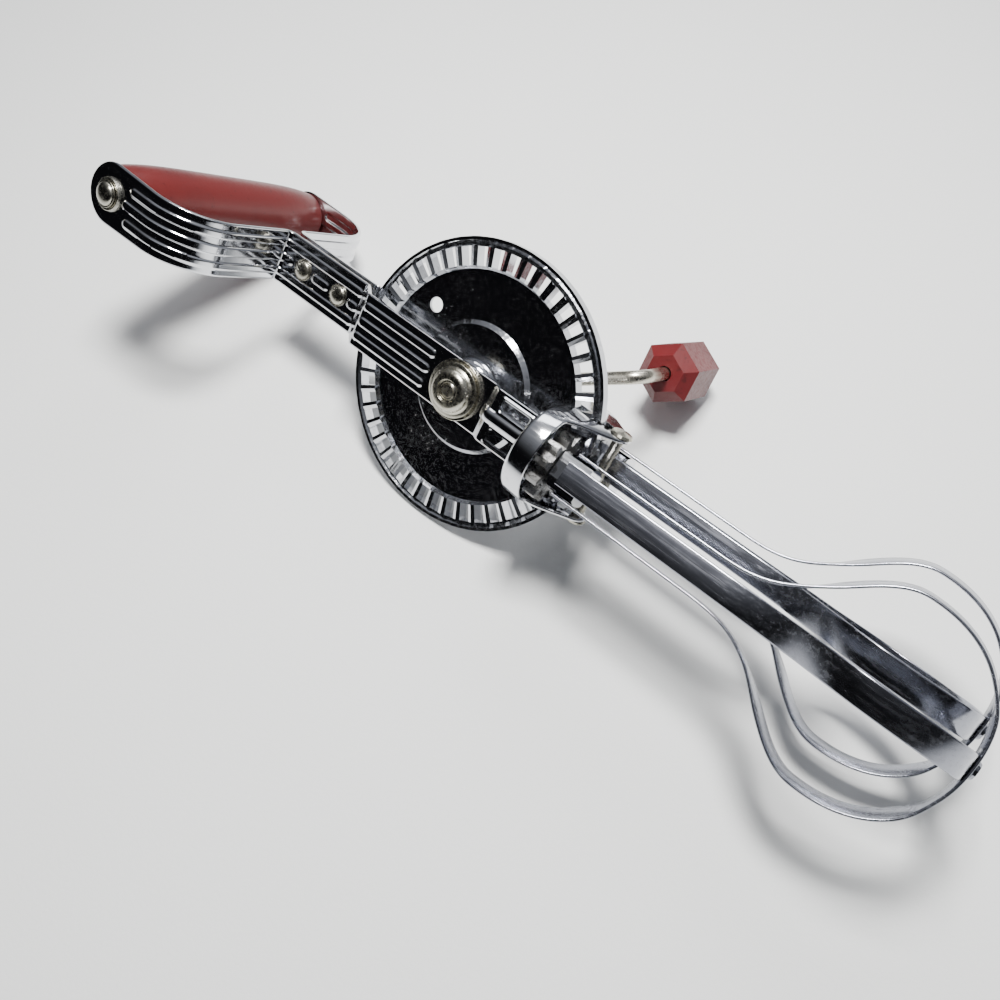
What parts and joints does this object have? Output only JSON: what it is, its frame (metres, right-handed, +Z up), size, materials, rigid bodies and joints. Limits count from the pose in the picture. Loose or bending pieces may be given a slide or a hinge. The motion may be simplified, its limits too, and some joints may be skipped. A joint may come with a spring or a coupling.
{
  "type": "rotary egg beater",
  "caption": "Hand-cranked rotary egg beater: slotted drive wheel, crank with a faceted knob, a cross grip between two straps and a pair of interleaved beaters.",
  "frame": {"origin": "middle of the part's bounding box, on the surface that the tool lies on", "axes": "+X from the grip towards the beater tips, +Z up, with the tool lying on its wheel rim, back beater and back arm; the crank side faces +Y"},
  "size_m": [0.2772, 0.109, 0.0666],
  "materials": {
    "axle_cap_nut": "dull warm plate, tarnished in the corners",
    "back_axle_washer": "dull warm plate, tarnished in the corners",
    "back_blade_hub": "bright polished plate with fine wear",
    "back_frame_strap": "bright polished plate with fine wear",
    "back_handle_washer": "dull warm plate, tarnished in the corners",
    "back_inner_blade_loop": "satin strip, scratched, with bright edges",
    "back_outer_blade_loop": "satin strip, scratched, with bright edges",
    "back_pinion": "dull warm plate, tarnished in the corners",
    "back_pinion_collar": "dull warm plate, tarnished in the corners",
    "back_spindle": "dull warm plate, tarnished in the corners",
    "back_tip_rivet": "satin strip, scratched, with bright edges",
    "crank_knob": "faded red paint on a faceted knob",
    "crank_rod": "dull warm plate, tarnished in the corners",
    "drive_wheel": "bright polished plate with fine wear",
    "front_axle_washer": "dull warm plate, tarnished in the corners",
    "front_blade_hub": "bright polished plate with fine wear",
    "front_frame_strap": "bright polished plate with fine wear",
    "front_handle_washer": "dull warm plate, tarnished in the corners",
    "front_inner_blade_loop": "satin strip, scratched, with bright edges",
    "front_outer_blade_loop": "satin strip, scratched, with bright edges",
    "front_pinion": "dull warm plate, tarnished in the corners",
    "front_pinion_collar": "dull warm plate, tarnished in the corners",
    "front_spindle": "dull warm plate, tarnished in the corners",
    "front_tip_rivet": "satin strip, scratched, with bright edges",
    "handle_grip": "smooth red-brown paint, slightly worn",
    "handle_rod": "dull warm plate, tarnished in the corners",
    "housing_cross_pin": "dull warm plate, tarnished in the corners",
    "knob_washer": "dull warm plate, tarnished in the corners",
    "lower_neck_rivet": "dull warm plate, tarnished in the corners",
    "lower_neck_spacer": "dull warm plate, tarnished in the corners",
    "pinion_housing": "bright polished plate with fine wear",
    "upper_neck_rivet": "dull warm plate, tarnished in the corners",
    "upper_neck_spacer": "dull warm plate, tarnished in the corners",
    "wheel_hub": "bright polished plate with fine wear"
  },
  "bodies": {
    "frame": {"front_frame_strap": "front_frame_strap", "back_frame_strap": "back_frame_strap", "handle_grip": "handle_grip", "handle_rod": "handle_rod", "front_handle_washer": "front_handle_washer", "back_handle_washer": "back_handle_washer", "upper_neck_rivet": "upper_neck_rivet", "lower_neck_rivet": "lower_neck_rivet", "upper_neck_spacer": "upper_neck_spacer", "lower_neck_spacer": "lower_neck_spacer", "pinion_housing": "pinion_housing", "housing_cross_pin": "housing_cross_pin", "front_spindle": "front_spindle", "back_spindle": "back_spindle"},
    "wheel": {"drive_wheel": "drive_wheel", "wheel_hub": "wheel_hub", "front_axle_washer": "front_axle_washer", "back_axle_washer": "back_axle_washer", "axle_cap_nut": "axle_cap_nut", "crank_rod": "crank_rod", "knob_washer": "knob_washer"},
    "knob": {"crank_knob": "crank_knob"},
    "front_beater": {"front_pinion": "front_pinion", "front_pinion_collar": "front_pinion_collar", "front_blade_hub": "front_blade_hub", "front_inner_blade_loop": "front_inner_blade_loop", "front_outer_blade_loop": "front_outer_blade_loop", "front_tip_rivet": "front_tip_rivet"},
    "back_beater": {"back_pinion": "back_pinion", "back_pinion_collar": "back_pinion_collar", "back_blade_hub": "back_blade_hub", "back_inner_blade_loop": "back_inner_blade_loop", "back_outer_blade_loop": "back_outer_blade_loop", "back_tip_rivet": "back_tip_rivet"}
  },
  "joints": [
    {"name": "wheel_spin", "type": "hinge", "parent": "frame", "child": "wheel", "pos_m": [-0.0178, -0.017, 0.03277], "axis": [-0.003, 0.7697, -0.6384], "continuous": true},
    {"name": "knob_spin", "type": "hinge", "parent": "wheel", "child": "knob", "pos_m": [0.01668, -0.00263, 0.04993], "axis": [-0.003, 0.7697, -0.6384], "continuous": true},
    {"name": "front_beater_spin", "type": "hinge", "parent": "frame", "child": "front_beater", "pos_m": [-0.01776, -0.02562, 0.03992], "axis": [1, 0, -0.0047], "continuous": true},
    {"name": "back_beater_spin", "type": "hinge", "parent": "frame", "child": "back_beater", "pos_m": [-0.01783, -0.00838, 0.02562], "axis": [1, 0, -0.0047], "continuous": true}
  ],
  "couplings": [
    {"joint": "front_beater_spin", "follows": "wheel_spin", "ratio": -4.0909},
    {"joint": "back_beater_spin", "follows": "wheel_spin", "ratio": 4.0909}
  ]
}
